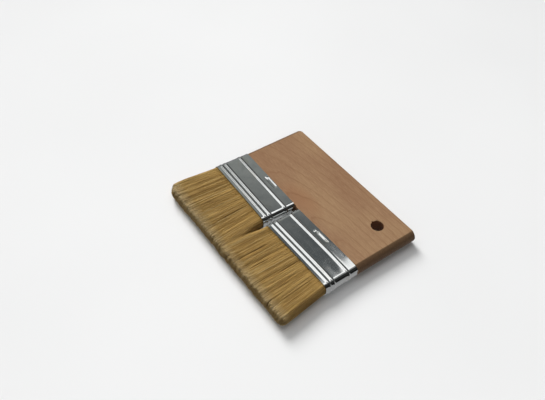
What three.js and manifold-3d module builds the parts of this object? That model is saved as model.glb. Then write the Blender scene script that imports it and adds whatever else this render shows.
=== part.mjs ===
// Double wall brush: one beech board with two tinplate ferrules full of bristle.
// It lies flat: X across its width, +Y towards the end of the handle, +Z up.
// All lengths are in millimetres.

import * as THREE from 'three';
import { mergeVertices } from 'three/addons/utils/BufferGeometryUtils.js';
import Module from 'manifold-3d';

const wasm = await Module();
wasm.setup();

// ---- driving dimensions ----

const BRUSH_WIDTH = 150;          // over both ferrules
const FERRULE_GAP = 2.0;          // between the two ferrules, at the wood end
const FERRULE_LENGTH = 30.7;
const FERRULE_THICKNESS = 11.6;   // over its flats
const FERRULE_CORNER = 4.2;       // outer corner radius of its section
const SHEET = 0.5;                // tinplate
const CLEARANCE = 0.3;            // left between pieces that touch

const BEAD_HEIGHT = 0.65;
const BEAD_HALF_WIDTH = 1.75;
const BEAD_PLACES = [8.6, 22.9, 26.8];   // crests, from the wood end

const STAKE_LENGTH = 15;          // the long dimple that grips the wood
const STAKE_WIDTH = 4.6;
const STAKE_DEPTH = 0.9;

const BOARD_WIDTH = 151.6;
const BOARD_REACH = 59.8;         // from the ferrules' wood end to the far edge
const BOARD_THICKNESS = 10.7;
const BOARD_CORNER = 2.6;         // in plan
const BOARD_EDGE = 1.4;           // rounding of the far edge
const NOSE_FLAT = 0.1;            // height of the flat between the two round halves of a side
const HOLE_RADIUS = 5.1;
const HOLE_X = 52;
const HOLE_Y = 39.4;

const TONGUE_LENGTH = 14;         // wood inside each ferrule
const RESIN_LENGTH = 5.5;         // setting block behind the bristle

const FILLER_THICKNESS = 3.0;     // strip that parts the two bristle rows
const FILLER_CORNER = 1.0;
const FILLER_INSET = 5.0;         // from the ferrule's inner wall at each end
const ROWS_MEET = 46;             // where the rows close up, from the wood end

const TIP_LINE = 73.8;            // trimmed bristle tips, from the ferrules' wood end
const TIP_CORNER = 4.5;           // rounding of the pack's outer corners in plan
const TIP_INNER_CORNER = 0.9;     // the same, where the two packs meet
const TIP_SPREAD = 0.35;          // how far each row opens in thickness at its tips
const THINNEST_ROW = 1.0;         // at the round ends of the pack

const FERRULE_WIDTH = (BRUSH_WIDTH - FERRULE_GAP) / 2;
const PACK_HALF_WIDTH = FERRULE_WIDTH / 2 - SHEET - CLEARANCE;
const RESIN_START = TONGUE_LENGTH + CLEARANCE;
const BRISTLE_START = RESIN_START + RESIN_LENGTH + CLEARANCE;

// One entry for each ferrule. The splay is the small turn that its fitting left it with, along
// is where it sits along Y, and the flares are how far the bristle opens at its tips.
const FERRULES = [
  { name: 'left', side: -1, splay: -1.8, along: 0.6, stakeAt: 4.7, flareOuter: 2.3, flareInner: 5.35 },
  { name: 'right', side: 1, splay: 0.8, along: -0.6, stakeAt: -1.7, flareOuter: 4.5, flareInner: 0.7 },
];

// ---- allowances of the cutting and joining solids ----

const OVERSHOOT = 1;              // by which the sleeve's bore runs out of both of its ends
const BLANK_WASTE = 4;            // board blank below the ferrules' wood end, all cut away
const CUT_DEPTH = 20;             // the cut that takes a ferrule's room out of the blank
const CUT_MARGIN = 4;             // by which that cut is wider than the ferrule, on each side
const TONGUE_LAP = 2;             // how far a tongue runs up into the board
const PLAN_WASTE = 20;            // by which the board's plan outline runs past its ferrule end
const TRIM_WASTE = 5;             // untrimmed bristle past the tip line
const TRIM_MARGIN = 0.02;         // by which the trimming outline clears the pack's sides

// ---- fineness of the round stretches ----

const CORNER_STEPS = 3;
const BEAD_STEPS = 6;
const NOSE_STEPS = 5;
const EDGE_STEPS = 4;
const HOLE_STEPS = 32;
const SCOOP_STEPS = 24;
const SCOOP_RINGS = 14;
const WIDTH_STEPS = 26;
const CLOSING_STEPS = 4;
const SAME_PLACE = 1e-4;          // vertices closer than this are one

// ---- materials ----

const beech = () => new THREE.MeshStandardMaterial({ color: 0x9c7a5c, roughness: 0.6, metalness: 0 });
const tinplate = () => new THREE.MeshStandardMaterial({ color: 0x9a9d9a, roughness: 0.2, metalness: 1 });
const bristle = () => new THREE.MeshStandardMaterial({ color: 0x95783f, roughness: 0.7, metalness: 0 });
const pine = () => new THREE.MeshStandardMaterial({ color: 0xc2a46e, roughness: 0.7, metalness: 0 });
const resin = () => new THREE.MeshStandardMaterial({ color: 0x6b3f1c, roughness: 0.35, metalness: 0 });

// ---- solids ----

function toSolid(geometry) {
  const plain = geometry.clone();
  plain.deleteAttribute('normal');
  plain.deleteAttribute('uv');
  const merged = mergeVertices(plain, SAME_PLACE);
  return new wasm.Manifold(new wasm.Mesh({
    numProp: 3,
    vertProperties: new Float32Array(merged.attributes.position.array),
    triVerts: new Uint32Array(merged.index.array),
  }));
}

function toGeometry(solid) {
  const mesh = solid.getMesh();
  const geometry = new THREE.BufferGeometry();
  geometry.setAttribute('position', new THREE.BufferAttribute(new Float32Array(mesh.vertProperties), 3));
  geometry.setIndex(new THREE.BufferAttribute(new Uint32Array(mesh.triVerts), 1));
  geometry.computeVertexNormals();
  return geometry;
}

function pieceMesh(name, solid, finish) {
  const mesh = new THREE.Mesh(toGeometry(solid), finish);
  mesh.name = name;
  return mesh;
}

// A rectangle with round corners, centred on the origin.
function roundedRectangle(width, height, radius) {
  const right = width / 2 - radius;
  const top = height / 2 - radius;
  const shape = new THREE.Shape();
  shape.absarc(right, top, radius, 0, Math.PI / 2);
  shape.absarc(-right, top, radius, Math.PI / 2, Math.PI);
  shape.absarc(-right, -top, radius, Math.PI, 1.5 * Math.PI);
  shape.absarc(right, -top, radius, 1.5 * Math.PI, 2 * Math.PI);
  shape.closePath();
  return shape;
}

// Extrudes a section drawn in X and Z along Y, from y = start to y = end.
function extrudeAlongY(shape, start, end, curveSegments) {
  const geometry = new THREE.ExtrudeGeometry(shape, {
    depth: end - start,
    bevelEnabled: false,
    curveSegments,
  });
  geometry.rotateX(Math.PI / 2);
  geometry.translate(0, end, 0);
  return geometry;
}

// The section of a piece that lies inside the ferrule, inset from its outside.
function innerSection(inset) {
  return roundedRectangle(
    FERRULE_WIDTH - 2 * inset,
    FERRULE_THICKNESS - 2 * inset,
    FERRULE_CORNER - inset,
  );
}

// ---- ferrule ----

// How far the sheet stands out at a distance from the wood end: raised round beads.
function beadOffset(distance) {
  let offset = 0;
  for (const place of BEAD_PLACES) {
    const away = Math.abs(distance - place) / BEAD_HALF_WIDTH;
    if (away < 1) offset += BEAD_HEIGHT * (1 + Math.cos(Math.PI * away)) / 2;
  }
  return offset;
}

// The distances from the wood end at which the sleeve has a ring of vertices.
function sleeveStations() {
  const stations = [0, FERRULE_LENGTH];
  for (const place of BEAD_PLACES) {
    for (let step = 0; step <= BEAD_STEPS; step++) {
      stations.push(place + BEAD_HALF_WIDTH * (2 * step / BEAD_STEPS - 1));
    }
  }
  return stations.sort((a, b) => a - b);
}

// The outward direction at each point of an outline that runs round anticlockwise.
function outlineNormals(outline) {
  return outline.map((point, index) => {
    const before = outline[(index + outline.length - 1) % outline.length];
    const after = outline[(index + 1) % outline.length];
    return new THREE.Vector2(after.y - before.y, before.x - after.x).normalize();
  });
}

// A beaded block, closed at both ends and inset from the ferrule's outside. It is turned on a
// lathe as a round bar of radius 1 first, then each of its rings is laid onto the flat section.
function beadedBlock(inset, overshoot) {
  const outline = innerSection(inset).getPoints(CORNER_STEPS).slice(0, -1);
  const normals = outlineNormals(outline);

  const profile = sleeveStations().map((distance) => new THREE.Vector2(1 + beadOffset(distance), -distance));
  profile[0].y += overshoot;
  profile[profile.length - 1].y -= overshoot;
  const first = new THREE.Vector2(0, profile[0].y);
  const last = new THREE.Vector2(0, profile[profile.length - 1].y);
  const turned = new THREE.LatheGeometry([first, ...profile, last], outline.length);

  const places = turned.attributes.position;
  for (let i = 0; i < places.count; i++) {
    const x = places.getX(i);
    const z = places.getZ(i);
    const radius = Math.hypot(x, z);
    const onAxis = radius < 1 / 2;
    if (onAxis) continue;
    const turn = Math.atan2(x, z) / (2 * Math.PI);
    const index = THREE.MathUtils.euclideanModulo(Math.round(turn * outline.length), outline.length);
    const out = radius - 1;
    places.setX(i, outline[index].x + out * normals[index].x);
    places.setZ(i, outline[index].y + out * normals[index].y);
  }
  return toSolid(turned);
}

// The two scoops, above and below, that a staking punch leaves. grow makes them larger all round.
function stakeScoops(stakeAt, grow) {
  const scoops = [];
  for (const face of [-1, 1]) {
    const scoop = new THREE.SphereGeometry(1, SCOOP_STEPS, SCOOP_RINGS);
    scoop.scale(STAKE_LENGTH / 2 + grow, STAKE_WIDTH / 2 + grow, STAKE_DEPTH + grow);
    scoop.translate(stakeAt, -STAKE_WIDTH / 2 - CLEARANCE, face * FERRULE_THICKNESS / 2);
    scoops.push(toSolid(scoop));
  }
  return scoops[0].add(scoops[1]);
}

function ferruleSolid(ferrule) {
  const outside = beadedBlock(0, 0).subtract(stakeScoops(ferrule.stakeAt, 0));
  const inside = beadedBlock(SHEET, OVERSHOOT).subtract(stakeScoops(ferrule.stakeAt, SHEET));
  return outside.subtract(inside);
}

// ---- wood ----

function tongueSolid(ferrule) {
  const inset = SHEET + CLEARANCE;
  const tongue = extrudeAlongY(innerSection(inset), -TONGUE_LENGTH, TONGUE_LAP, CORNER_STEPS);
  return toSolid(tongue).subtract(stakeScoops(ferrule.stakeAt, inset));
}

// The board: half-round along both sides, with a plain eased edge at the far end.
function boardBlank() {
  const nose = (BOARD_THICKNESS - NOSE_FLAT) / 2;
  const section = roundedRectangle(BOARD_WIDTH, BOARD_THICKNESS, nose);
  const moulded = toSolid(extrudeAlongY(section, -BLANK_WASTE, BOARD_REACH, NOSE_STEPS));

  const plan = roundedRectangle(
    BOARD_WIDTH - 2 * BOARD_EDGE,
    BOARD_REACH + PLAN_WASTE - 2 * BOARD_EDGE,
    BOARD_CORNER,
  );
  const eased = new THREE.ExtrudeGeometry(plan, {
    depth: BOARD_THICKNESS - 2 * BOARD_EDGE,
    bevelEnabled: true,
    bevelThickness: BOARD_EDGE,
    bevelSize: BOARD_EDGE,
    bevelSegments: EDGE_STEPS,
    curveSegments: CORNER_STEPS,
  });
  eased.translate(0, (BOARD_REACH - PLAN_WASTE) / 2, BOARD_EDGE - BOARD_THICKNESS / 2);
  return moulded.intersect(toSolid(eased));
}

function hangingHole() {
  const drill = new THREE.CylinderGeometry(HOLE_RADIUS, HOLE_RADIUS, 2 * BOARD_THICKNESS, HOLE_STEPS);
  drill.rotateX(Math.PI / 2);
  drill.translate(HOLE_X, HOLE_Y, 0);
  return toSolid(drill);
}

// The block that a ferrule takes out of the board blank, up to the shoulder that it butts against.
function ferruleRoom() {
  const room = new THREE.BoxGeometry(FERRULE_WIDTH + 2 * CUT_MARGIN, CUT_DEPTH, 2 * BOARD_THICKNESS);
  room.translate(0, CLEARANCE - CUT_DEPTH / 2, 0);
  return toSolid(room);
}

// How far a ferrule's middle is from the brush's.
function ferruleCentre(ferrule) {
  return ferrule.side * (FERRULE_GAP + FERRULE_WIDTH) / 2;
}

// Moves a solid from a ferrule's own frame into the board's.
function placedWith(ferrule, solid) {
  return solid.rotate([0, 0, ferrule.splay]).translate([ferruleCentre(ferrule), ferrule.along, 0]);
}

function handleBoard() {
  let board = boardBlank();
  for (const ferrule of FERRULES) board = board.subtract(placedWith(ferrule, ferruleRoom()));
  for (const ferrule of FERRULES) board = board.add(placedWith(ferrule, tongueSolid(ferrule)));
  return board.subtract(hangingHole());
}

// ---- inside each ferrule ----

function resinBlock() {
  const section = innerSection(SHEET + CLEARANCE);
  return toSolid(extrudeAlongY(section, -RESIN_START - RESIN_LENGTH, -RESIN_START, CORNER_STEPS));
}

function fillerStrip() {
  const width = FERRULE_WIDTH - 2 * (SHEET + FILLER_INSET);
  const section = roundedRectangle(width, FILLER_THICKNESS, FILLER_CORNER);
  return toSolid(extrudeAlongY(section, -FERRULE_LENGTH, -BRISTLE_START, CORNER_STEPS));
}

// ---- bristle ----

// The distances from the wood end at which a bristle row is shaped.
function rowStations() {
  const stations = [BRISTLE_START, FERRULE_LENGTH];
  for (let step = 1; step <= CLOSING_STEPS; step++) {
    stations.push(THREE.MathUtils.lerp(FERRULE_LENGTH, ROWS_MEET, step / CLOSING_STEPS));
  }
  stations.push(TIP_LINE + TRIM_WASTE);
  return stations;
}

// How far the pack has opened at a distance from the wood end: 0 in the ferrule, 1 at its tips.
function opening(distance) {
  return Math.max(0, distance - FERRULE_LENGTH) / (TIP_LINE - FERRULE_LENGTH);
}

// How far a row's inner face stays off the middle plane: past the filler strip, then closing up.
function rowInnerFace(distance) {
  const parted = FILLER_THICKNESS / 2 + CLEARANCE;
  const closing = THREE.MathUtils.smoothstep(distance, FERRULE_LENGTH, ROWS_MEET);
  return THREE.MathUtils.lerp(parted, CLEARANCE / 2, closing);
}

// How far a row's outer face is from the middle plane. across runs from -1 to 1 over the pack.
function rowSkin(distance, across) {
  const radius = FERRULE_CORNER - SHEET - CLEARANCE;
  const fromEnd = PACK_HALF_WIDTH * (1 - Math.abs(across));
  const bend = Math.max(0, 1 - fromEnd / radius);
  const flat = FERRULE_THICKNESS / 2 - SHEET - CLEARANCE + TIP_SPREAD * opening(distance);
  return flat - radius * (1 - Math.sqrt(1 - bend * bend));
}

// Adds a corner to an outline, rounded over a length of its two sides.
function roundCorner(shape, before, corner, after, length) {
  const start = before.clone().sub(corner).setLength(length).add(corner);
  const end = after.clone().sub(corner).setLength(length).add(corner);
  shape.lineTo(start.x, start.y);
  shape.quadraticCurveTo(corner.x, corner.y, end.x, end.y);
}

// The block that a pack's tips are trimmed to, with round outer corners. The cut is straight
// across the brush, so it slopes a little in the frame of a splayed ferrule.
function trimBlock(ferrule) {
  const slope = Math.tan(THREE.MathUtils.degToRad(ferrule.splay));
  const sideAt = (side, flare) => side * (PACK_HALF_WIDTH + TRIM_MARGIN + flare);
  const mouth = (side) => new THREE.Vector2(sideAt(side, 0), -FERRULE_LENGTH);
  const tip = (side, flare) => {
    const x = sideAt(side, flare);
    return new THREE.Vector2(x, -TIP_LINE - ferrule.along - x * slope);
  };
  const outerMouth = mouth(ferrule.side);
  const innerMouth = mouth(-ferrule.side);
  const outerTip = tip(ferrule.side, ferrule.flareOuter);
  const innerTip = tip(-ferrule.side, ferrule.flareInner);

  const outline = new THREE.Shape();
  outline.moveTo(innerMouth.x, 0);
  outline.lineTo(outerMouth.x, 0);
  outline.lineTo(outerMouth.x, outerMouth.y);
  roundCorner(outline, outerMouth, outerTip, innerTip, TIP_CORNER);
  roundCorner(outline, outerTip, innerTip, innerMouth, TIP_INNER_CORNER);
  outline.lineTo(innerMouth.x, innerMouth.y);
  const block = new THREE.ExtrudeGeometry(outline, {
    depth: 2 * FERRULE_THICKNESS,
    bevelEnabled: false,
    curveSegments: 2 * CORNER_STEPS,
  });
  block.translate(0, 0, -FERRULE_THICKNESS);
  return toSolid(block);
}

// A flat strip from x = -1 to 1 and y = 0 to 1, with points all along its two long sides.
function rowStrip() {
  const strip = new THREE.Shape();
  strip.moveTo(-1, 0);
  for (let step = 1; step <= WIDTH_STEPS; step++) strip.lineTo(2 * step / WIDTH_STEPS - 1, 0);
  for (let step = WIDTH_STEPS; step >= 0; step--) strip.lineTo(2 * step / WIDTH_STEPS - 1, 1);
  return strip;
}

// Turns a geometry's faces over, after its vertices were mirrored.
function flipFaces(geometry) {
  const places = geometry.attributes.position;
  for (let i = 0; i < places.count; i += 3) {
    const first = new THREE.Vector3().fromBufferAttribute(places, i);
    const second = new THREE.Vector3().fromBufferAttribute(places, i + 1);
    places.setXYZ(i, second.x, second.y, second.z);
    places.setXYZ(i + 1, first.x, first.y, first.z);
  }
}

// One row of bristle: face is 1 for the upper row and -1 for the lower. The strip is extruded
// with one step for each station, then each point goes to its place in the pack.
function bristleRow(ferrule, face) {
  const stations = rowStations();
  const steps = stations.length - 1;
  const row = new THREE.ExtrudeGeometry(rowStrip(), { depth: steps, steps, bevelEnabled: false });

  const places = row.attributes.position;
  for (let i = 0; i < places.count; i++) {
    const across = Math.sin(places.getX(i) * Math.PI / 2);
    const onSkin = places.getY(i) > 1 / 2;
    const station = stations[Math.round(places.getZ(i))];
    const flare = Math.sign(across) === ferrule.side ? ferrule.flareOuter : ferrule.flareInner;
    const skin = rowSkin(station, across);
    const inner = Math.min(rowInnerFace(station), skin - THINNEST_ROW);
    places.setXYZ(
      i,
      across * (PACK_HALF_WIDTH + flare * opening(station)),
      -station,
      face * (onSkin ? skin : inner),
    );
  }
  if (face < 0) flipFaces(row);
  return toSolid(row).intersect(trimBlock(ferrule));
}

// ---- assembly ----

function ferruleAssembly(ferrule) {
  const group = new THREE.Group();
  group.position.set(ferruleCentre(ferrule), ferrule.along, 0);
  group.rotation.z = THREE.MathUtils.degToRad(ferrule.splay);
  group.add(pieceMesh(`ferrule_${ferrule.name}`, ferruleSolid(ferrule), tinplate()));
  group.add(pieceMesh(`resin_${ferrule.name}`, resinBlock(), resin()));
  group.add(pieceMesh(`filler_strip_${ferrule.name}`, fillerStrip(), pine()));
  group.add(pieceMesh(`bristles_${ferrule.name}_upper`, bristleRow(ferrule, 1), bristle()));
  group.add(pieceMesh(`bristles_${ferrule.name}_lower`, bristleRow(ferrule, -1), bristle()));
  return group;
}

// The origin is under the middle of the whole brush's box, on the surface that it lies on.
function standOnOrigin(group) {
  const box = new THREE.Box3().setFromObject(group, true);
  const centre = box.getCenter(new THREE.Vector3());
  group.position.set(-centre.x, -centre.y, -box.min.z);
}

const brush = new THREE.Group();
brush.add(pieceMesh('handle_board', handleBoard(), beech()));
for (const ferrule of FERRULES) brush.add(ferruleAssembly(ferrule));
standOnOrigin(brush);

export default brush;
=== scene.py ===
"""The looks of a double wall brush: a beech board, two tinplate ferrules and four bristle rows.

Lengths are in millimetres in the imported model's frame: X runs across the brush, +Y towards the far
edge of the board, and +Z up from the surface that it lies on. A mesh is scaled to metres when it
is made. Each ferrule also has a frame of its own: u across it, v from its wood end towards the
bristle tips, and w up from the brush's middle plane.
"""
import math
from collections import namedtuple

import bpy
import numpy as np
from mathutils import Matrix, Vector
from mathutils.geometry import tessellate_polygon


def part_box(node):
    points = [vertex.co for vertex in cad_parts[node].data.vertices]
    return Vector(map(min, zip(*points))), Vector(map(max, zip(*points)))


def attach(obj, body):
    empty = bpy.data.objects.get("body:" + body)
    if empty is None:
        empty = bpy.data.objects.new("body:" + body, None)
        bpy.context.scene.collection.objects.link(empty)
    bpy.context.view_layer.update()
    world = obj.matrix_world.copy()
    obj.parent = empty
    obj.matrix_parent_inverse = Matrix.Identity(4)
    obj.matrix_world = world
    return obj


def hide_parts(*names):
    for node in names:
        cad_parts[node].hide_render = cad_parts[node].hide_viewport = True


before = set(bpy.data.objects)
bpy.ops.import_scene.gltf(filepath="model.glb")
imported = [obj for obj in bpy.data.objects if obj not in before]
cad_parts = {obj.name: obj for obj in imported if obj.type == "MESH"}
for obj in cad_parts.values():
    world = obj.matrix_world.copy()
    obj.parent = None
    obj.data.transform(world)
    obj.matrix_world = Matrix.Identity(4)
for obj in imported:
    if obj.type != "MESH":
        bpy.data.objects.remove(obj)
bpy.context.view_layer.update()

# ---- sizes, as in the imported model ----

MM = 0.001
FERRULE_LENGTH = 30.7
FERRULE_WIDTH = 74.0
FERRULE_THICKNESS = 11.6
FERRULE_CORNER = 4.2
BEAD_HEIGHT = 0.65
BEAD_HALF_WIDTH = 1.75
BEAD_PLACES = (8.6, 22.9, 26.8)
BOARD_THICKNESS = 10.7
BOARD_CORNER = 2.6
BOARD_EDGE = 1.4
HOLE_RADIUS = 5.1
HOLE_FROM_SIDE = 23.8  # from the board's right side to the hole's middle
HOLE_FROM_END = 20.4  # from the board's far edge to the hole's middle
PACK_HALF_WIDTH = 36.2
PACK_CORNER = 3.4
PACK_HALF_THICKNESS = 5.0
TIP_LINE = 73.8
TIP_SPREAD = 0.35
ROWS_MEET = 46.0
FILLER_HALF_ROOM = 1.8
PACKS_CROSS = 0.8  # the hairs close the thin gap that the two solid packs leave


def box_mm(node):
    """A CAD node's lowest and highest corners in millimetres."""
    low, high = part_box(node)
    return np.array(low) / MM, np.array(high) / MM


MIDDLE_Z = float(sum(corner[2] for corner in box_mm("ferrule_left"))) / 2


class Ferrule:
    """A ferrule's own frame, and what differs between the two ferrules."""

    def __init__(self, name, splay, **settings):
        self.name = name
        vars(self).update(settings)
        low, high = box_mm(f"ferrule_{name}")
        turn = math.radians(splay)
        self.across = np.array([math.cos(turn), math.sin(turn), 0.0])
        self.along = np.array([math.sin(turn), -math.cos(turn), 0.0])
        self.origin = (low + high) / 2 - self.along * FERRULE_LENGTH / 2

    def place(self, u, v, w):
        """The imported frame's points for u, v and w, which may be arrays."""
        u, v, w = np.broadcast_arrays(u, v, w)
        points = self.origin + u[..., None] * self.across + v[..., None] * self.along
        points[..., 2] += w
        return points

    def wood_line(self, x, gap):
        """Where the line a gap short of the wood end crosses x, as y."""
        u = (x - self.origin[0] + self.along[0] * gap) / self.across[0]
        return float(self.place(u, -gap, 0.0)[1])


# A stake runs from u = start to end, after a crease of the width given. Along v it has its crest,
# the two edges of its floor and its foot. The ridge is raised before it, and its ends bow.
Stake = namedtuple("Stake", "start end crease crest floor_first floor_last foot depth ridge bow")

# side is -1 on the left. splay is in degrees. A flare is how far one side of a pack opens.
# narrow_bead is the share of the beads' height on the narrow outer side.
# A dip is (first v, last v, depth), over which the sheet sinks.
# A parting is (u at the mouth, first v, last v, strength). It runs along the hairs, which it pushes
# apart and lowers, and it is painted darker as the shade in its gap.
LEFT = Ferrule(
    "left", splay=-1.8, side=-1, flare_outer=2.3, flare_inner=5.35, tip_corner=10.0, droop=0.0,
    narrow_bead=0.35, seed=11,
    stake=Stake(start=-2.2, end=12.6, crease=1.9, crest=0.4, floor_first=1.7, floor_last=3.3,
                foot=4.4, depth=0.50, ridge=0.0, bow=0.08),
    dips=((28.2, 31.5, -0.12),),
    partings=(
        (-10.8, 29, 54, 0.7), (6.8, 29, 46, 0.8), (15.5, 33, 62, 1.1), (-3.1, 49, 67, 0.7),
        (-20.5, 30, 46, 0.4), (24.0, 36, 52, 0.4), (-28.0, 40, 58, 0.4), (30.0, 30, 50, 0.3),
    ),
)
RIGHT = Ferrule(
    "right", splay=0.8, side=1, flare_outer=4.5, flare_inner=0.7, tip_corner=5.0, droop=0.30,
    narrow_bead=1.0, seed=23,
    stake=Stake(start=-9.4, end=5.8, crease=2.6, crest=2.1, floor_first=3.6, floor_last=3.8,
                foot=4.9, depth=0.56, ridge=0.04, bow=0.50),
    dips=((5.8, 7.1, 0.02),),
    partings=(
        (5.75, 29, 49, 0.8), (-8.6, 46, 67, 1.0), (-20.3, 43, 70, 0.9), (-31.0, 32, 48, 0.3),
        (22.0, 30, 46, 0.3), (-15.0, 30, 44, 0.3), (28.5, 46, 60, 0.3),
    ),
)
FERRULES = (LEFT, RIGHT)
BRUSH_END_Y = float(np.mean([ferrule.origin[1] for ferrule in FERRULES]))

# ---- small mathematics ----


def smooth(value, start, end):
    """0 below start and 1 above end, with an even curve between."""
    t = np.clip((value - start) / (end - start), 0.0, 1.0)
    return t * t * (3 - 2 * t)


def bump(value, middle, width):
    """1 at the middle, falling to almost nothing at two widths from it."""
    return np.exp(-((value - middle) / width) ** 2)


def ripples(x, y, seed, shortest, longest, count=20):
    """A random smooth height over x and y, mostly within 1: a sum of cosine waves."""
    draw = np.random.default_rng(seed)
    x, y = np.broadcast_arrays(np.asarray(x, float), np.asarray(y, float))
    total = np.zeros(x.shape)
    for _ in range(count):
        length = draw.uniform(shortest, longest)
        heading = draw.uniform(0, math.pi)
        phase = draw.uniform(0, 2 * math.pi)
        distance = x * math.cos(heading) + y * math.sin(heading)
        total += np.cos(2 * math.pi * distance / length + phase)
    return total / math.sqrt(count)


# ---- meshes ----


class Shape:
    """Points and faces that are gathered before they become one mesh."""

    def __init__(self):
        self.points = []
        self.faces = []
        self.finishes = []

    def add(self, points):
        """Adds points and returns their numbers."""
        first = len(self.points)
        self.points.extend(np.asarray(points, float).reshape(-1, 3).tolist())
        return list(range(first, len(self.points)))

    def face(self, corners, finish=0):
        self.faces.append(tuple(corners))
        self.finishes.append(finish)

    def bridge(self, ring, other, finish=0):
        """Joins two closed rings of the same number of points."""
        for i in range(len(ring)):
            j = (i + 1) % len(ring)
            self.face((ring[i], ring[j], other[j], other[i]), finish)

    def cap(self, outer, holes=(), up=True):
        """Fills a flat ring, less its holes, with triangles that face up or down."""
        loops = [outer, *holes]
        numbers = [n for loop in loops for n in loop]
        outlines = [[Vector(self.points[n]) for n in loop] for loop in loops]
        for triangle in tessellate_polygon(outlines):
            corners = [numbers[i] for i in triangle]
            a, b, c = (Vector(self.points[n]) for n in corners)
            if ((b - a).cross(c - a).z > 0) != up:
                corners.reverse()
            self.face(corners)

    def make(self, name, materials, sharp_degrees=40):
        """The finished object, smooth except at edges sharper than the angle given."""
        mesh = bpy.data.meshes.new(name)
        mesh.from_pydata((np.array(self.points) * MM).tolist(), [], self.faces)
        for material in materials:
            mesh.materials.append(material)
        mesh.polygons.foreach_set("material_index", self.finishes)
        mesh.polygons.foreach_set("use_smooth", [True] * len(self.faces))
        mesh.set_sharp_from_angle(angle=math.radians(sharp_degrees))
        mesh.update()
        made = bpy.data.objects.new(name, mesh)
        bpy.context.scene.collection.objects.link(made)
        return made


def finish_piece(piece, node):
    """Puts a piece on the brush in place of its CAD node."""
    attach(piece, "root")
    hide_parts(node)


# ---- materials ----


def paint(red, green, blue):
    """A shader colour from screen values of 0 to 255."""
    channels = []
    for value in (red, green, blue):
        share = value / 255
        channels.append(share / 12.92 if share <= 0.04045 else ((share + 0.055) / 1.055) ** 2.4)
    return tuple(channels)


def rgba(colour):
    """A colour as nodes take it, from its three channels or from one grey."""
    channels = colour if isinstance(colour, tuple) else (colour, colour, colour)
    return (*channels, 1.0)


class Graph:
    """A node tree, and short ways to add nodes to it."""

    def __init__(self, tree):
        self.tree = tree

    def node(self, kind, **settings):
        made = self.tree.nodes.new(kind)
        for key, value in settings.items():
            setattr(made, key, value)
        return made

    def feed(self, socket, value):
        if isinstance(value, bpy.types.NodeSocket):
            self.tree.links.new(value, socket)
        else:
            socket.default_value = value

    def math(self, operation, *values):
        made = self.node("ShaderNodeMath", operation=operation)
        for socket, value in zip(made.inputs, values):
            self.feed(socket, value)
        return made.outputs[0]

    def times(self, first, second):
        return self.math("MULTIPLY", first, second)

    def scale_add(self, value, factor, more):
        """value x factor + more."""
        return self.math("MULTIPLY_ADD", value, factor, more)

    def squares(self, first, second):
        """The sum of the squares of both."""
        return self.math("ADD", self.times(first, first), self.times(second, second))

    def spot(self, x, y, middle, reach):
        """0 in the middle of an oval spot, rising to 1 at its edge."""
        off_x = self.scale_add(x, 1 / reach[0], -middle[0] / reach[0])
        off_y = self.scale_add(y, 1 / reach[1], -middle[1] / reach[1])
        return self.squares(off_x, off_y)

    def split(self, vector):
        made = self.node("ShaderNodeSeparateXYZ")
        self.feed(made.inputs[0], vector)
        return made.outputs

    def noise(self, vector, detail=2.0, roughness=0.5, distortion=0.0):
        made = self.node("ShaderNodeTexNoise")
        values = (vector, 1.0, detail, roughness, distortion)
        for key, value in zip(("Vector", "Scale", "Detail", "Roughness", "Distortion"), values):
            self.feed(made.inputs[key], value)
        return made.outputs["Fac"]

    def ramp(self, value, stops):
        """A colour or grey that runs through stops of (place, colour)."""
        made = self.node("ShaderNodeValToRGB")
        self.feed(made.inputs[0], value)
        elements = made.color_ramp.elements
        while len(elements) < len(stops):
            elements.new(0.5)
        for element, (place, colour) in zip(elements, stops):
            element.position = place
            element.color = rgba(colour)
        return made.outputs["Color"]

    def fade(self, value, start, end, low=0.0, high=1.0):
        """A colour or grey that runs from low at start to high at end."""
        return self.ramp(value, ((start, low), (end, high)))

    def mix(self, share, first, second, blend="MIX"):
        made = self.node("ShaderNodeMix", data_type="RGBA", blend_type=blend)
        self.feed(made.inputs[0], share)
        for socket, colour in zip(made.inputs[6:8], (first, second)):
            self.feed(socket, colour if isinstance(colour, bpy.types.NodeSocket) else rgba(colour))
        return made.outputs[2]


class Finish(Graph):
    """A material whose colour, roughness and relief come from nodes."""

    def __init__(self, name):
        self.material = bpy.data.materials.new(name)
        self.material.use_nodes = True
        super().__init__(self.material.node_tree)
        self.surface = self.tree.nodes["Principled BSDF"]
        self.place = self.node("ShaderNodeTexCoord").outputs["Object"]

    def place_in(self, across, along, through):
        """The place on the piece in units of the lengths given, in millimetres, along X, Y and Z."""
        made = self.node("ShaderNodeVectorMath", operation="MULTIPLY")
        self.feed(made.inputs[0], self.place)
        self.feed(made.inputs[1], [1 / (length * MM) for length in (across, along, through)])
        return made.outputs[0]

    def cloud(self, across, along, through, **settings):
        """Noise whose features have about the lengths given, in millimetres, along X, Y and Z."""
        return self.noise(self.place_in(across, along, through), **settings)

    def relief(self, height, depth):
        """Bumps the surface. depth is in millimetres."""
        made = self.node("ShaderNodeBump")
        made.inputs["Distance"].default_value = depth * MM
        self.feed(made.inputs["Height"], height)
        self.feed(self.surface.inputs["Normal"], made.outputs[0])

    def set(self, **values):
        for key, value in values.items():
            self.feed(self.surface.inputs[key.replace("_", " ")], value)


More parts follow.
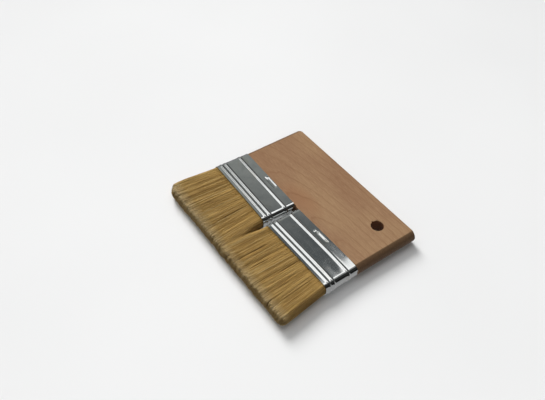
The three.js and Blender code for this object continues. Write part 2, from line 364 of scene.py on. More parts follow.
RING_MIDDLE_Y = 11.3  # where the log's heart runs under the board
RING_DEPTH = 17.1  # and how far below the top face, above RING_FROM_X
RING_FROM_X = -14.4
RING_SLOPE = 0.19
RING_WIDTH = 5.75
RING_TILT = 0.35
RING_PHASE = 7.71  # a ring's late wood is where the count passes a whole number
RING_SWAY = 0.50
RING_FINE_SWAY = 0.08
LATE_WOOD = ((0.0, 1.0), (0.06, 0.20), (0.12, 0.0), (0.68, 0.0), (0.93, 0.25), (1.0, 1.0))
BROAD_TONES = ((0.34, paint(146, 109, 80)), (0.50, paint(155, 120, 89)), (0.66, paint(166, 133, 98)))
STREAK_TONES = (
    (0.32, paint(126, 92, 65)), (0.50, paint(153, 119, 88)), (0.68, paint(180, 147, 114)))
STREAK_SHARE = 0.40
PALER_PER_MM = 0.0010  # the board is a little paler towards its right
WARM_MIDDLE = (-4.0, 15.0)
WARM_REACH = (26.0, 11.0)
WARM_SHARE = 0.60
FLECK_SHARE = 0.55
# Where a face looks along the grain: its end grain is darker, and painted shade darkens it more, as on
# a shaded side.
END_GRAIN_AND_SHADE = ((0.10, 0.0), (0.34, 0.75), (0.70, 1.0))
END_GRAIN_AND_SHADE_SHARE = 0.85
BEECH_TONE = 0.88


def beech():
    """Steamed beech with its grain along X."""
    wood = Finish("beech")
    x, y, z = wood.split(wood.place_in(1, 1, 1))

    lean = wood.scale_add(x, -RING_SLOPE, RING_DEPTH + RING_SLOPE * RING_FROM_X)
    under = wood.math("SUBTRACT", z, MIDDLE_Z + BOARD_THICKNESS / 2)
    heart = wood.scale_add(under, RING_TILT, lean)
    gap = wood.math("SUBTRACT", y, RING_MIDDLE_Y)
    radius = wood.math("SQRT", wood.squares(gap, heart))
    steps = wood.scale_add(radius, 1 / RING_WIDTH, RING_PHASE - RING_DEPTH / RING_WIDTH)
    swayed = wood.scale_add(wood.cloud(38, 11, 11), RING_SWAY, steps)
    count = wood.scale_add(wood.cloud(9, 2.6, 2.6), RING_FINE_SWAY, swayed)
    late = wood.ramp(wood.math("FRACT", count), LATE_WOOD)

    base = wood.ramp(wood.scale_add(x, PALER_PER_MM, wood.cloud(60, 24, 24)), BROAD_TONES)
    streak = wood.cloud(5.5, 0.34, 0.34, detail=3.0, roughness=0.6)
    streaked = wood.mix(STREAK_SHARE, base, wood.ramp(streak, STREAK_TONES))
    warm = wood.fade(wood.spot(x, y, WARM_MIDDLE, WARM_REACH), 0.0, 1.0, WARM_SHARE, 0.0)
    body = wood.mix(warm, streaked, paint(152, 108, 76))
    patch = wood.cloud(30, 7, 7, detail=1.0)
    strength = wood.times(late, wood.scale_add(patch, 0.55, 0.20))
    ringed = wood.mix(strength, body, paint(131, 91, 62))

    flecks = wood.fade(wood.cloud(2.4, 0.22, 0.22, detail=1.0), 0.60, 0.72, high=0.6)
    flecked = wood.mix(wood.times(flecks, FLECK_SHARE), ringed, paint(118, 84, 60))

    # The board's sides show end grain, darkened further with painted shade.
    normal = wood.split(wood.node("ShaderNodeNewGeometry").outputs["Normal"])
    end_grain_and_shade = wood.ramp(wood.math("ABSOLUTE", normal[0]), END_GRAIN_AND_SHADE)
    end_pores_and_shade = wood.fade(wood.cloud(0.5, 0.5, 0.5), 0.35, 0.65, paint(76, 56, 38), paint(116, 88, 62))
    turned = wood.mix(wood.times(end_grain_and_shade, END_GRAIN_AND_SHADE_SHARE), flecked, end_pores_and_shade)

    wood.set(Base_Color=wood.mix(1.0, turned, BEECH_TONE, blend="MULTIPLY"))
    wood.set(Roughness=wood.fade(streak, 0.3, 0.7, 0.50, 0.64), Specular_IOR_Level=0.35)
    wood.relief(wood.scale_add(flecks, -0.6, streak), 0.03)
    return wood.material


def plain(name, lengths, colours, roughness, depth, detail=3.0):
    """A simple material: one cloud of noise runs through its colour, roughness and relief."""
    made = Finish(name)
    cloud = made.cloud(*lengths, detail=detail)
    made.set(Base_Color=made.fade(cloud, 0.3, 0.7, *colours))
    made.set(Roughness=made.fade(cloud, 0.3, 0.7, *roughness))
    if depth:
        made.relief(cloud, depth)
    return made.material


def bored_beech():
    """The inside of the hanging hole, darker than the board's faces."""
    colours = (paint(84, 54, 34), paint(134, 90, 58))
    return plain("bored_beech", (2.0, 2.0, 0.35), colours, (0.65, 0.85), 0.08)


TIN_TINTS = ((0.35, (0.60, 0.615, 0.61)), (0.58, (0.66, 0.67, 0.66)), (0.74, (0.60, 0.59, 0.545)))
TIN_STAIN = (0.66, 0.60, 0.50)
TIN_ROUGHNESS = 0.055  # and what smudges, haze, stains and rolling marks add to it
SMUDGE_ROUGHNESS = 0.03
HAZE_ROUGHNESS = 0.06
STAIN_ROUGHNESS = 0.16
MARK_ROUGHNESS = 0.03
HAZE = ((0.0, 1.0), (0.45, 0.85), (1.0, 0.0))
HAZE_MIDDLE = RIGHT.place(13.0, 3.4, 0.0)
HAZE_REACH = (10.0, 4.2)


def tinplate():
    """Bright tinned steel with faint smudges, one hazy spot and fine rolling marks."""
    tin = Finish("tinplate")
    x, y, _ = tin.split(tin.place_in(1, 1, 1))
    smudge = tin.cloud(9, 7, 9, detail=4.0, roughness=0.62, distortion=0.6)
    marks = tin.cloud(0.10, 6.0, 0.10)
    stains = tin.fade(tin.cloud(3.2, 2.4, 3.0, detail=3.0, roughness=0.6), 0.66, 0.76, high=0.7)
    tin.set(Base_Color=tin.mix(stains, tin.ramp(smudge, TIN_TINTS), TIN_STAIN), Metallic=1.0)
    haze = tin.ramp(tin.spot(x, y, HAZE_MIDDLE.tolist(), HAZE_REACH), HAZE)
    rough = tin.scale_add(tin.fade(smudge, 0.40, 0.72), SMUDGE_ROUGHNESS, TIN_ROUGHNESS)
    for layer, more in ((haze, HAZE_ROUGHNESS), (stains, STAIN_ROUGHNESS), (marks, MARK_ROUGHNESS)):
        rough = tin.scale_add(layer, more, rough)
    tin.set(Roughness=rough)
    tin.relief(tin.scale_add(smudge, 0.7, tin.times(marks, 0.02)), 0.003)
    return tin.material


HAIR_TONES = (
    (0.00, paint(58, 42, 26)), (0.22, paint(120, 90, 46)), (0.50, paint(174, 140, 79)),
    (0.78, paint(197, 166, 104)), (1.00, paint(221, 200, 148)),
)
HAIR_MOTTLE = 0.14
FLAG = ((0.80, 0.0), (0.93, 0.42), (1.0, 0.85))  # the hairs' split ends are paler
FLAG_SHARE = 0.85
# Painted shade: deep in the pack the hair colour is multiplied down to this, as the shade among the
# hairs.
DEEP_PAINTED_SHADE = (0.34, 0.34, 0.38)  # what is left of the colour deep in the pack


def bristle():
    """Blond natural bristle. The mesh says how dark each hair is, how far along, and how deep; hairs
    deep in the pack get painted shade.
    """
    hair = Finish("bristle")
    tone = hair.node("ShaderNodeSeparateColor")
    hair.feed(tone.inputs[0], hair.node("ShaderNodeAttribute", attribute_name="tone").outputs["Color"])
    shade, along, depth = tone.outputs
    mottle = hair.cloud(0.6, 9.0, 0.6)
    level = hair.math("SUBTRACT", shade, HAIR_MOTTLE / 2)
    body = hair.ramp(hair.scale_add(mottle, HAIR_MOTTLE, level), HAIR_TONES)
    tipped = hair.mix(hair.times(hair.ramp(along, FLAG), FLAG_SHARE), body, paint(232, 214, 172))
    hair.set(Base_Color=hair.mix(1.0, tipped, hair.fade(depth, 0.0, 1.0, 1.0, DEEP_PAINTED_SHADE), blend="MULTIPLY"))
    hair.set(Roughness=hair.fade(mottle, 0.3, 0.7, 0.42, 0.56), Specular_IOR_Level=0.4)
    return hair.material


def pine():
    """The filler strips inside the ferrules."""
    colours = (paint(176, 142, 92), paint(214, 184, 134))
    return plain("pine", (12, 0.8, 0.8), colours, (0.6, 0.75), 0.05)


def resin():
    """The setting cement behind the bristle."""
    return plain("resin", (4, 4, 4), (paint(86, 46, 20), paint(132, 78, 38)), (0.25, 0.45), 0.1)


def floor_paper():
    """The pale matt sheet that the brush lies on."""
    return plain("floor_paper", (300, 300, 300), (0.80, 0.83), (0.85, 0.95), 0.0, detail=2.0)


# ---- board ----

SHOULDER_GAP = 0.12  # between the board's shoulder and the ferrule
NOSE_LEVELS = 36
NOSE_TURN = math.radians(48)  # the rounded side meets the broad face at a soft edge
NOSE_REACH = 4.7
CORNER_STEPS = 8
HOLE_TURNS = np.linspace(0, 2 * math.pi, 72, endpoint=False)
HOLE_TEARS = ((3.22, 0.09, 1.0), (2.40, 0.20, 0.30))  # (turn, width and share of each tear)
CAP_MARGIN = 0.5  # narrow level rims keep the broad face's shading flat
HOLE_COLLAR = 7.2
TONGUE_INSET = 1.35
TONGUE_LEVELS = ((-1.0, 0.0), (13.0, 0.0), (14.0, 0.5))  # (v, taper)
TONGUE_CORNER_STEPS = 6


def board_outline(low, high):
    """The board's plan outline at its widest, anticlockwise from its near left corner."""
    middle = (LEFT.origin[0] + RIGHT.origin[0]) / 2
    near = ((LEFT, low[0]), (LEFT, middle), (RIGHT, middle), (RIGHT, high[0]))
    points = [(x, ferrule.wood_line(x, SHOULDER_GAP)) for ferrule, x in near]
    for side, centre_x in ((0, high[0] - BOARD_CORNER), (1, low[0] + BOARD_CORNER)):
        for step in range(CORNER_STEPS + 1):
            turn = math.pi / 2 * (side + step / CORNER_STEPS)
            x = centre_x + BOARD_CORNER * math.cos(turn)
            y = high[1] - BOARD_CORNER + BOARD_CORNER * math.sin(turn)
            points.append((x, y))
    return np.array(points)


def board_level(outline, side_inset, end_inset, z):
    """The outline at one height: drawn in at both sides and at the far edge."""
    low, high = outline.min(0), outline.max(0)
    centre = (low[0] + high[0]) / 2
    half = (high[0] - low[0]) / 2
    near = outline[:4, 1].mean()
    far_share = np.clip((outline[:, 1] - near) / (high[1] - near), 0, 1)
    x = centre + (outline[:, 0] - centre) * (half - side_inset) / half
    y = outline[:, 1] - far_share * end_inset
    return np.column_stack([x, y, np.full(len(outline), z)])


def nose_rings(shape, outline):
    """The board's rings with its rounded sides, from the top face down."""
    half = BOARD_THICKNESS / 2
    rings = []
    for level in range(NOSE_LEVELS + 1):
        turn = NOSE_TURN * (1 - 2 * level / NOSE_LEVELS)
        height = half * math.sin(turn) / math.sin(NOSE_TURN)
        side_inset = NOSE_REACH * (1 - math.cos(turn)) / (1 - math.cos(NOSE_TURN))
        over = max(0.0, abs(height) - (half - BOARD_EDGE))
        end_inset = BOARD_EDGE - math.sqrt(BOARD_EDGE ** 2 - over ** 2)
        rings.append(shape.add(board_level(outline, side_inset, end_inset, MIDDLE_Z + height)))
    for ring, other in zip(rings, rings[1:]):
        shape.bridge(other, ring)
    return rings


def hole_ring(shape, centre, radius, height):
    """A ring of the radius given, which may differ from turn to turn."""
    x = centre[0] + radius * np.cos(HOLE_TURNS)
    y = centre[1] + radius * np.sin(HOLE_TURNS)
    return shape.add(np.column_stack([x, y, np.full(len(x), MIDDLE_Z + height)]))


def hole_rings(shape, centre):
    """The hanging hole's rings from the top down, with a broken edge and small tears."""
    tear = sum(share * bump(HOLE_TURNS, turn, width) for turn, width, share in HOLE_TEARS)
    half = BOARD_THICKNESS / 2
    levels = (  # (height, how far the edge is broken, how far it is torn)
        (half, 0.16, 1.25), (half - 0.10, 0.05, 1.15), (half - 0.6, 0.0, 0.8), (half - 1.8, 0.0, 0.0),
        (0.0, 0.0, 0.0), (0.4 - half, 0.0, 0.0), (0.10 - half, 0.06, 0.0), (-half, 0.18, 0.0),
    )
    rings = [hole_ring(shape, centre, HOLE_RADIUS + broken + torn * tear, height)
             for height, broken, torn in levels]
    for index, (ring, other) in enumerate(zip(rings, rings[1:])):
        shape.bridge(ring, other, finish=0 if index in (0, len(rings) - 2) else 1)
    return rings


def tongue(shape, ferrule):
    """The part of the board inside a ferrule, clear of its staking dimples."""
    rings = []
    for v, taper in TONGUE_LEVELS:
        outline = section_outline(TONGUE_INSET + taper, TONGUE_CORNER_STEPS)[0]
        rings.append(shape.add(ferrule.place(outline[:, 0], v, outline[:, 1])))
    for ring, other in zip(rings, rings[1:]):
        shape.bridge(other, ring)
    shape.face(list(reversed(rings[0])))
    shape.face(rings[-1])


def make_board(wood, bored):
    low, high = box_mm("handle_board")
    half = BOARD_THICKNESS / 2
    shape = Shape()
    rings = nose_rings(shape, board_outline(low, high))
    centre = (high[0] - HOLE_FROM_SIDE, high[1] - HOLE_FROM_END)
    bores = hole_rings(shape, centre)
    for end, up, height in ((0, True, half), (-1, False, -half)):
        ring, bore = rings[end], bores[end]
        edge = np.array([shape.points[n] for n in ring])[:, :2]
        inner = shape.add(board_level(edge, CAP_MARGIN, CAP_MARGIN, MIDDLE_Z + height))
        collar = hole_ring(shape, centre, HOLE_COLLAR, height)
        for outer, within in ((ring, inner), (collar, bore)):
            shape.bridge(*((outer, within) if up else (within, outer)))
        shape.cap(inner, [collar], up)
    for ferrule in FERRULES:
        tongue(shape, ferrule)
    finish_piece(shape.make("board", [wood, bored]), "handle_board")


# ---- ferrules ----

SHEET = 0.4
LAP_RISE = 0.3  # the sheet's lapped seam, on the narrow side away from the hole
LAP_FADE_W = 4.6
SEAM_W = -0.7
FLAT_STEP = 0.5
NARROW_STEPS = 8
FERRULE_CORNER_STEPS = 12
SMALLEST_CORNER = 0.5
ROW_STEP = 0.5
CLOSEST_ROWS = 0.07
STAKED_ROWS = np.arange(0, 6.4, 0.13)
BEAD_ROWS = 19
RIM_ROWS = (0.0, 0.08, FERRULE_LENGTH - 0.25, FERRULE_LENGTH - 0.08, FERRULE_LENGTH)
RIPPLE_HEIGHT = 0.014
RIPPLE_LENGTHS = (12, 40)
RIPPLE_STRETCH = 1.6  # ripples are shorter along the ferrule than across it
FACES_APART = 9  # the two broad faces have different ripples
RIDGE_WIDTH = 1.1
STAKE_RUNOUT = 2.0
CREASE_DEPTH = 0.26
CURL_DEPTH = 0.20
BROAD_FROM_W = 5.0
SAG_FROM_U = 8.0
SAG_RUN = 15.0
SAG_AT_WOOD = 0.98
SAG_LOSSES = ((7.4, 9.8, 0.11), (21.6, 24.4, 0.26), (25.6, 28.2, 0.32))  # beads stiffen the sheet
SAG_SLOPE = (9.8, 11.8, 0.29)  # (first v, length, loss) between the first two beads
HOLLOW = (10.0, 11.0, 0.26)  # (first v, length, depth) of the hollow before the second bead
HOLLOW_END = (21.2, 24.4)
SHARP_TIN_DEGREES = 50


def section_outline(inset, corner_steps, flat_step=None, side_steps=1):
    """The ferrule's section as (u, w) points, anticlockwise from its right side, with normals."""
    half_u = FERRULE_WIDTH / 2 - inset
    half_w = FERRULE_THICKNESS / 2 - inset
    radius = max(FERRULE_CORNER - inset, SMALLEST_CORNER)
    flats = 1 if flat_step is None else int(2 * (half_u - radius) / flat_step)
    signs = ((1, 1), (-1, 1), (-1, -1), (1, -1))
    centres = [np.array([u * (half_u - radius), w * (half_w - radius)]) for u, w in signs]
    points, normals = [], []
    for index, centre in enumerate(centres):
        for step in range(corner_steps + 1):
            turn = math.pi / 2 * (index + step / corner_steps)
            normal = np.array([math.cos(turn), math.sin(turn)])
            points.append(centre + radius * normal)
            normals.append(normal)
        steps = flats if index % 2 == 0 else side_steps
        start = points[-1]
        end = centres[(index + 1) % 4] + radius * normals[-1]
        for step in range(1, steps):
            points.append(start + (end - start) * step / steps)
            normals.append(normals[-1])
    return np.array(points), np.array(normals)


def bead_offset(v):
    """How far the sheet stands out at v: its raised beads."""
    offset = np.zeros_like(v)
    for place in BEAD_PLACES:
        away = np.clip(np.abs(v - place) / BEAD_HALF_WIDTH, 0, 1)
        offset += BEAD_HEIGHT * 0.5 * (1 + np.cos(math.pi * away))
    return offset


def stake_press(u, v, stake):
    """How far the staking punch pressed the sheet in, less the ridges that it raised."""
    share = np.clip((u - stake.start) / (stake.end - stake.start), 0, 1)
    bowed = stake.crest + (v - stake.crest) / (1 - stake.bow * (2 * share - 1) ** 2)
    profile = (stake.depth + stake.ridge) * smooth(bowed, stake.crest, stake.floor_first)
    profile = profile - stake.ridge * smooth(bowed, stake.crest - RIDGE_WIDTH, stake.crest)
    profile = profile - stake.depth * smooth(bowed, stake.floor_last, stake.foot)
    wall_u = stake.start + stake.crease
    lengthwise = smooth(u, wall_u - 0.6, wall_u + 0.5)
    lengthwise = lengthwise * (1 - smooth(u, stake.end - STAKE_RUNOUT, stake.end))

    middle_v = (stake.crest + stake.foot) / 2
    reach_v = 0.42 * (stake.foot - stake.crest)
    spread = np.exp(-((v - middle_v) / reach_v) ** 4)
    waver = 1 + 0.5 * np.sin(2.6 * v + 1)
    crease = CREASE_DEPTH * bump(u, stake.start - 0.1, 0.55) * spread * waver
    curl = CURL_DEPTH * bump(u, wall_u, 0.5) * bump(v, stake.crest + 0.3, 0.6)
    return profile * lengthwise - crease - curl


def ferrule_rows():
    """The values of v at which the sleeve has a ring of points."""
    rows = [np.arange(0.25, FERRULE_LENGTH - 0.2, ROW_STEP), STAKED_ROWS, RIM_ROWS]
    for place in BEAD_PLACES:
        rows.append(np.linspace(place - BEAD_HALF_WIDTH, place + BEAD_HALF_WIDTH, BEAD_ROWS))
    every = np.unique(np.round(np.concatenate(rows), 2))
    keep = np.concatenate([[True], np.diff(every) > CLOSEST_ROWS])
    return every[keep]


def sleeve_offset(ferrule, outline, rows):
    """The outward offset of the sheet's outside at each row and point of the section."""
    u, w = outline.T
    v = rows[:, None]
    on_end = smooth(np.abs(u), FERRULE_WIDTH / 2 - FERRULE_CORNER, FERRULE_WIDTH / 2 - 0.5)
    on_end = on_end * (u * ferrule.side > 0)
    offset = bead_offset(v) * (1 - (1 - ferrule.narrow_bead) * on_end)
    for first, last, depth in ferrule.dips:
        offset = offset - depth * smooth(v, first, last)
    along = RIPPLE_STRETCH * v + FACES_APART * np.sign(w)
    offset = offset + RIPPLE_HEIGHT * ripples(u, along, ferrule.seed, *RIPPLE_LENGTHS)
    broad = np.clip((np.abs(w) - BROAD_FROM_W) / 0.8, 0, 1)
    return offset - broad * stake_press(u, v, ferrule.stake)


def sag(ferrule, u, v):
    """How far the sheet's broad faces have sunk towards the ferrule's right end."""
    near_end = np.clip((u - SAG_FROM_U) / SAG_RUN, 0, 2.0)
    first, length, loss = SAG_SLOPE
    share = SAG_AT_WOOD - loss * np.clip((v - first) / length, 0, 1)
    for first, last, loss in SAG_LOSSES:
        share = share - loss * smooth(v, first, last)
    first, length, depth = HOLLOW
    hollow = depth * np.clip((v - first) / length, 0, 1) ** 2 * (1 - smooth(v, *HOLLOW_END))
    return ferrule.droop * (near_end ** 2 * share - np.clip(near_end, 0, 1) * hollow)


def lap_rise(outline):
    """The lapped seam: the sheet steps out at the seam, then eases back round the section."""
    u, w = outline.T
    on_side = u < -(FERRULE_WIDTH / 2 - FERRULE_CORNER)
    over = np.where(on_side & (w > SEAM_W), 1.0, 0.0)
    return LAP_RISE * over * (1 - smooth(w, SEAM_W, LAP_FADE_W))


def make_ferrule(ferrule, tin):
    outline, normals = section_outline(0, FERRULE_CORNER_STEPS, FLAT_STEP, NARROW_STEPS)
    rows = ferrule_rows()
    outside = sleeve_offset(ferrule, outline, rows) + lap_rise(outline)
    shape = Shape()
    skins = []
    for inset in (0.0, SHEET):
        u = outline[:, 0] + normals[:, 0] * (outside - inset)
        w = outline[:, 1] + normals[:, 1] * (outside - inset)
        v = np.broadcast_to(rows[:, None], u.shape)
        w = w * (1 - sag(ferrule, u, v) / (FERRULE_THICKNESS / 2))
        numbers = shape.add(ferrule.place(u, v, w))
        skins.append([numbers[i:i + len(outline)] for i in range(0, len(numbers), len(outline))])
    outer, inner = skins
    for ring, other in zip(outer, outer[1:]):
        shape.bridge(other, ring)
    for ring, other in zip(inner, inner[1:]):
        shape.bridge(ring, other)
    shape.bridge(outer[0], inner[0])
    shape.bridge(inner[-1], outer[-1])
    sleeve = shape.make(f"sleeve_{ferrule.name}", [tin], SHARP_TIN_DEGREES)
    finish_piece(sleeve, f"ferrule_{ferrule.name}")


# ---- bristle ----

SKIN_HAIRS = 4200
INNER_HAIRS = 3900
SKIN_KNOTS = 7
INNER_KNOTS = 3
HAIR_SIDES = 3
HAIR_RADIUS = 0.125
INNER_HAIR_RADIUS = 0.15
HAIR_RADIUS_SPREAD = (0.8, 1.25)
HAIR_TAPER = 0.22
BLUNT_END = 0.985  # where along a hair its last short cone starts
ROOT_V = 28.2  # hairs start just inside the ferrule's mouth
SKIN_DEPTH = 1.25
SKIN_SUNK = 0.40  # how shaded the deepest of the skin's hairs is
INNER_LENGTHS = (7, 12)
GOLDEN_TURN = 2.39996  # radians, so that neighbours don't face the same way

# How the hairs gather and stray. A pair is for the big locks and for the small ones.
LOCK_WIDTHS = ((3.0, 8.0), (0.7, 2.0))
LOCK_MIXING = (0.25, 0.12)
LOCK_LENGTHS = (0.18, 0.34)
LOCK_STRAYS = (0.15, 0.20)
LOCK_LIFTS = (0.06, 0.09)
LOCK_ROUNDING = (0.05, 0.09)  # how much lower a lock is at its sides
LOCK_SHADES = (0.012, 0.028)
LOCK_SHADOWS = (0.0135, 0.036)  # how much darker a lock is at its sides
LOCK_POINT = 0.35  # how much shorter a small lock is at its sides
GATHER = 0.30  # share of the way to its small lock's middle that a tip moves
TIP_EDGE = 0.6  # how much shorter the hairs of the broad faces are
TIP_SHORTFALL = 0.60
WORN_SHORTFALL = 2.6  # the most that a worn hair falls short
STRAY_ACROSS = 0.30
STRAY_UP = 0.10
BEND = 0.09
CROSSING = 0.9  # how far hairs beside the gap stray over it
CROSSING_ROOM = 1.4  # the most by which a pack's own box opens for them
CROSSING_STARTS = (0.1, 0.6)
BOX_SLACK = 0.2
LOWEST_W = 0.05
FALL = (0.05, 0.40, 0.09)  # the share by which a tip droops: the least, the odd and the lock's
PARTING_WIDTH = 0.36
PARTING_PUSH = 0.15
PARTING_DEPTH = 0.40
# painted shade in a parting's gap
PARTING_PAINTED_SHADE = 0.34
SHADE = 0.515
SHADE_SPREAD = 0.100
# Painted light: hairs are lighter towards their tips, against the shade among their ends.
TIP_PAINTED_LIGHT = 0.10
DARK_ODD = (0.025, 0.0, 0.16)  # (share of hairs, least shade, greatest shade)
PALE_ODD = (0.035, 0.76, 0.94)


def opening(v):
    """How far a pack has opened at v: 0 in the ferrule and 1 at its tips."""
    return np.clip((v - FERRULE_LENGTH) / (TIP_LINE - FERRULE_LENGTH), 0, None)


def spread_u(ferrule, u, v):
    """Where a hair that leaves the ferrule at u has got to at v, before any stray."""
    outward = u * ferrule.side > 0
    flare = np.where(outward, ferrule.flare_outer, ferrule.flare_inner + PACKS_CROSS)
    return u * (1 + flare * opening(v) / PACK_HALF_WIDTH)


def spread_w(w, v):
    return w * (1 + TIP_SPREAD * opening(v) / PACK_HALF_THICKNESS)


def skin_points(share, depth):
    """Points (u, w) at a depth under the upper row's skin. share runs from 0 to 1 round it."""
    side = PACK_HALF_THICKNESS - PACK_CORNER
    arc = math.pi / 2 * PACK_CORNER
    flat = 2 * (PACK_HALF_WIDTH - PACK_CORNER)
    travel = share * (2 * side + 2 * arc + flat) - (side + arc + flat / 2)
    mirrored = np.abs(travel)
    on_flat = mirrored < flat / 2
    turn = np.clip((mirrored - flat / 2) / arc, 0, 1) * math.pi / 2
    down = np.clip(mirrored - flat / 2 - arc, 0, side)
    reach = PACK_CORNER - depth
    u = np.where(on_flat, mirrored, flat / 2 + reach * np.sin(turn))
    w = np.where(on_flat, PACK_HALF_THICKNESS - depth, side + reach * np.cos(turn) - down)
    return np.sign(travel) * u, w


def inner_points(draw):
    """Random points (u, w) anywhere in the upper row."""
    u = draw.uniform(-1, 1, INNER_HAIRS) * (PACK_HALF_WIDTH - 0.3)
    w = draw.uniform(0.1, PACK_HALF_THICKNESS - 0.4, INNER_HAIRS)
    corner = np.clip(np.abs(u) - (PACK_HALF_WIDTH - PACK_CORNER), 0, PACK_CORNER)
    ceiling = PACK_HALF_THICKNESS - PACK_CORNER + np.sqrt(PACK_CORNER ** 2 - corner ** 2)
    return u, np.minimum(w, w / PACK_HALF_THICKNESS * ceiling)


def tip_v(ferrule, u, w):
    """The trimmed tip of a hair: one straight cut across the brush, with round outer corners."""
    slope = ferrule.across[1] / ferrule.across[0]
    tip_u = spread_u(ferrule, u, TIP_LINE)
    cut = TIP_LINE + (ferrule.origin[1] - BRUSH_END_Y) + tip_u * slope
    radius = ferrule.tip_corner
    start = PACK_HALF_WIDTH + ferrule.flare_outer - radius
    over = np.clip(tip_u * ferrule.side - start, 0, radius * 0.98)
    corner = radius - np.sqrt(radius ** 2 - over ** 2)
    edge = TIP_EDGE * np.clip(np.abs(w) / PACK_HALF_THICKNESS, 0, 1) ** 5
    return cut - corner - edge


class Locks:
    """How the hairs gather: each lock has a middle, a stray, a lift, a length and a shade."""

    def __init__(self, seed, smallest, largest):
        draw = np.random.default_rng(seed)
        edges = [-50.0]
        while edges[-1] < 50:
            edges.append(edges[-1] + draw.uniform(smallest, largest))
        self.edges = np.array(edges)
        self.stray, self.lift, self.length, self.shade = (
            draw.normal(0, 1, len(edges)) for _ in range(4))

    def gather(self, u):
        """Gives each hair its lock, the lock's middle and its own place across it, as -1 to 1."""
        self.index = np.clip(np.searchsorted(self.edges, u) - 1, 0, len(self.edges) - 2)
        first, last = self.edges[self.index], self.edges[self.index + 1]
        self.middle = (first + last) / 2
        self.off = (u - self.middle) / ((last - first) / 2)


def of_locks(locks, quality, sizes):
    """What a hair gets from its big and its small lock, for one quality of theirs."""
    return sum(size * getattr(lock, quality)[lock.index] for lock, size in zip(locks, sizes))


def off_locks(locks, sizes):
    """What a hair loses by being away from the middle of its big and its small lock."""
    return sum(size * lock.off ** 2 for lock, size in zip(locks, sizes))


def knot_shares(knots):
    """Where a hair's knots are along it: even, but for a short blunt end."""
    return np.append(np.linspace(0, BLUNT_END, knots - 1), 1.0)


def hair_ends(ferrule, face, u, w, sunk, locks, draw):
    """The v at which each hair ends."""
    count = len(u)
    end = tip_v(ferrule, u, w) + 0.3 - TIP_SHORTFALL * np.abs(draw.normal(0, 1, count))
    worn = draw.uniform(0, 1, count) ** 1.5
    end = end - WORN_SHORTFALL * worn * np.clip(1 - sunk * 2.0, 0, 1)
    end = end + of_locks(locks, "length", LOCK_LENGTHS) * (1.0 if face > 0 else 0.5)
    return end - LOCK_POINT * locks[1].off ** 2


def hair_paths(ferrule, face, u, w, sunk, knots, start_v, draw):
    """The middle line and shade of each hair. u and w are where it leaves the ferrule."""
    count = len(u)
    seed = ferrule.seed + (0 if face > 0 else 50)
    locks = [Locks(seed + 1, *LOCK_WIDTHS[0]), Locks(seed + 2, *LOCK_WIDTHS[1])]
    for lock, mixing in zip(locks, LOCK_MIXING):
        lock.gather(u + draw.normal(0, mixing, count))
    end = hair_ends(ferrule, face, u, w, sunk, locks, draw)
    v = start_v[:, None] + (end - start_v)[:, None] * knot_shares(knots)
    open_ = opening(v)

    path_u = spread_u(ferrule, u[:, None], v)
    middle_u = spread_u(ferrule, locks[1].middle[:, None], v)
    path_u = path_u + GATHER * smooth(open_, 0.25, 1.0) * (middle_u - path_u)
    path_u = path_u + open_ ** 1.5 * of_locks(locks, "stray", LOCK_STRAYS)[:, None]
    path_u = path_u + open_ * draw.normal(0, STRAY_ACROSS, count)[:, None]
    path_u = path_u + draw.normal(0, BEND, count)[:, None] * np.sin(math.pi * open_)

    height = spread_w(w[:, None], v)
    inner_side = np.clip((-u * ferrule.side - PACK_HALF_WIDTH + PACK_CORNER) / PACK_CORNER, 0, 1)
    on_arc = smooth(w, 0.8, 2.2) * smooth(inner_side, 0.0, 0.25)
    squared = (PACK_HALF_THICKNESS - w) * 0.92 * on_arc
    height = height + squared[:, None] * smooth(open_, 0.0, 0.38)
    cross = inner_side * np.abs(draw.normal(0, CROSSING, count))
    path_u = path_u - ferrule.side * cross[:, None] * smooth(open_, 0.1, 0.7)
    level = np.clip(height / PACK_HALF_THICKNESS, 0, 1)
    lift = of_locks(locks, "lift", LOCK_LIFTS) - off_locks(locks, LOCK_ROUNDING)
    path_w = height + smooth(open_, 0.0, 0.35) * lift[:, None] * level
    path_w = path_w + open_ * draw.normal(0, STRAY_UP, count)[:, None]
    least, odd_fall, lock_fall = FALL
    fall = least + odd_fall * draw.uniform(0, 1, count) ** 3
    fall = fall + lock_fall * np.abs(locks[1].lift[locks[1].index])
    past_tip = v - tip_v(ferrule, u, w)[:, None]
    path_w = path_w * (1 - fall[:, None] * smooth(past_tip, -5.0, 0.8))

    parting_shadow = np.zeros(v.shape)
    for mouth_u, first_v, last_v, strength in ferrule.partings:
        away = path_u - spread_u(ferrule, mouth_u if face > 0 else -0.8 * mouth_u, v)
        along = smooth(v, first_v - 3, first_v + 3) * (1 - smooth(v, last_v - 6, last_v + 4))
        near = bump(away, 0.0, PARTING_WIDTH) * along * strength
        path_u = path_u + PARTING_PUSH * np.sign(away) * near
        path_w = path_w - PARTING_DEPTH * near * level
        # Painted shade: how much darker each point of a hair is painted in a parting's gap.
        parting_shadow = np.maximum(parting_shadow, near)

    shade = SHADE + SHADE_SPREAD * draw.normal(0, 1, count) + of_locks(locks, "shade", LOCK_SHADES)
    shade = shade - off_locks(locks, LOCK_SHADOWS)
    odd = draw.uniform(0, 1, count)
    for chosen, (_, least, most) in ((odd < DARK_ODD[0], DARK_ODD), (odd > 1 - PALE_ODD[0], PALE_ODD)):
        shade = np.where(chosen, draw.uniform(least, most, count), shade)
    shade = shade[:, None] + TIP_PAINTED_LIGHT * smooth(open_, 0.5, 0.85) - PARTING_PAINTED_SHADE * parting_shadow
    return v, path_u, path_w, np.clip(shade, 0, 1)


